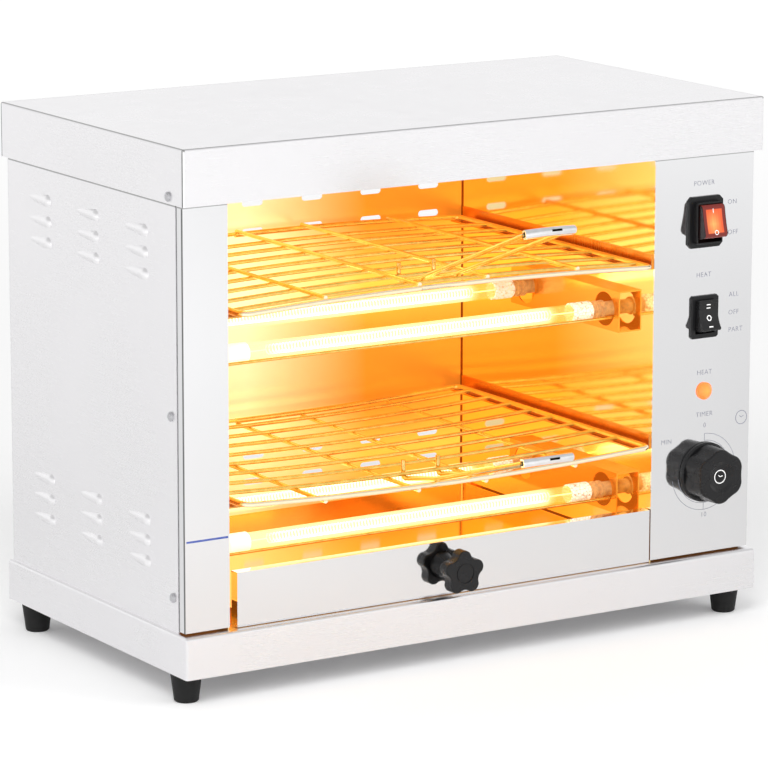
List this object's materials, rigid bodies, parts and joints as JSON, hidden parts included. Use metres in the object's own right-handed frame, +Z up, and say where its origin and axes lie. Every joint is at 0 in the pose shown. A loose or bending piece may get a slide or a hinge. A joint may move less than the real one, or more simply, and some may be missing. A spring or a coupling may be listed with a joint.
{
  "type": "salamander grill",
  "caption": "Two-tier countertop salamander grill with sliding wire racks, quartz tube lamps, crumb tray, rocker switches and a turn timer.",
  "frame": {"origin": "middle of the part's footprint, handles included, on the surface that the feet rest on", "axes": "+X to the right seen from the front, +Y to the rear, +Z up"},
  "size_m": [0.4836, 0.3936, 0.3845],
  "materials": {
    "satin_steel": "satin",
    "polished_steel": "polished",
    "reflector_steel": "mirror",
    "bracket_steel": "satin",
    "rack_wire": "bright",
    "grip_steel": "bright",
    "quartz": "clear",
    "hot_filament": "glowing orange when on",
    "white_ceramic": "matt",
    "brown_ceramic": "matt",
    "black_knob": "semi-gloss",
    "black_plastic": "satin",
    "black_rocker": "semi-gloss",
    "red_lens": "translucent, lit from inside",
    "amber_lens": "translucent, lit from inside",
    "grey_plastic": "matt",
    "white_plastic": "matt",
    "black_rubber": "matt",
    "zinc_steel": "bright"
  },
  "bodies": {
    "case": {"lid": "satin_steel", "base_tray": "satin_steel", "left_side_panel": "satin_steel", "right_side_panel": "satin_steel", "rear_panel": "satin_steel", "left_front_strip": "polished_steel", "control_panel": "polished_steel", "left_chamber_wall": "reflector_steel", "right_chamber_wall": "reflector_steel", "top_reflector": "reflector_steel", "lower_left_rail": "bracket_steel", "lower_right_rail": "bracket_steel", "upper_left_rail": "bracket_steel", "upper_right_rail": "bracket_steel", "lower_left_lamp_bracket": "bracket_steel", "lower_right_lamp_bracket": "bracket_steel", "lower_front_lamp_tube": "quartz", "lower_rear_lamp_tube": "quartz", "lower_heating_coils": "hot_filament", "lower_lamp_guards": "rack_wire", "lower_lamp_caps": "white_ceramic", "upper_left_lamp_bracket": "bracket_steel", "upper_right_lamp_bracket": "bracket_steel", "upper_front_lamp_tube": "quartz", "upper_rear_lamp_tube": "quartz", "upper_heating_coils": "hot_filament", "upper_lamp_guards": "rack_wire", "upper_lamp_caps": "white_ceramic", "top_left_lamp_bracket": "bracket_steel", "top_right_lamp_bracket": "bracket_steel", "top_front_lamp_tube": "quartz", "top_rear_lamp_tube": "quartz", "top_heating_coils": "hot_filament", "top_lamp_guards": "rack_wire", "top_lamp_caps": "white_ceramic", "lamp_holders": "brown_ceramic", "timer_body": "grey_plastic", "terminal_block": "white_plastic", "cable_gland": "black_plastic", "power_switch_body": "black_plastic", "heat_switch_body": "black_plastic", "indicator_body": "black_plastic", "indicator_lens": "amber_lens", "feet": "black_rubber", "foot_screws": "zinc_steel", "case_screws": "zinc_steel"},
    "upper_rack_body": {"upper_rack": "rack_wire", "upper_rack_handle": "rack_wire", "upper_handle_grip": "grip_steel"},
    "lower_rack_body": {"lower_rack": "rack_wire", "lower_rack_handle": "rack_wire", "lower_handle_grip": "grip_steel"},
    "crumb_tray": {"crumb_tray_pan": "reflector_steel", "crumb_tray_front": "polished_steel", "tray_knob": "black_knob", "tray_knob_stud": "zinc_steel"},
    "power_rocker_body": {"power_rocker": "red_lens"},
    "heat_rocker_body": {"heat_rocker": "black_rocker"},
    "timer_spindle": {"timer_knob": "black_knob", "timer_shaft": "zinc_steel"}
  },
  "joints": [
    {"name": "upper_rack_slide", "type": "slide", "parent": "case", "child": "upper_rack_body", "axis": [0, -1, 0], "range_m": [0, 0.19]},
    {"name": "lower_rack_slide", "type": "slide", "parent": "case", "child": "lower_rack_body", "axis": [0, -1, 0], "range_m": [0, 0.19]},
    {"name": "crumb_tray_slide", "type": "slide", "parent": "case", "child": "crumb_tray", "axis": [0, -1, 0], "range_m": [0, 0.21]},
    {"name": "power_rocker_tilt", "type": "hinge", "parent": "case", "child": "power_rocker_body", "pos_m": [0.1937, -0.07072, 0.2964], "axis": [1, 0, 0], "range_deg": [0, 26]},
    {"name": "heat_rocker_tilt", "type": "hinge", "parent": "case", "child": "heat_rocker_body", "pos_m": [0.1944, -0.06722, 0.2269], "axis": [1, 0, 0], "range_deg": [0, 26]},
    {"name": "timer_turn", "type": "hinge", "parent": "case", "child": "timer_spindle", "pos_m": [0.197, -0.06822, 0.1118], "axis": [0, 1, 0], "range_deg": [0, 270]}
  ]
}
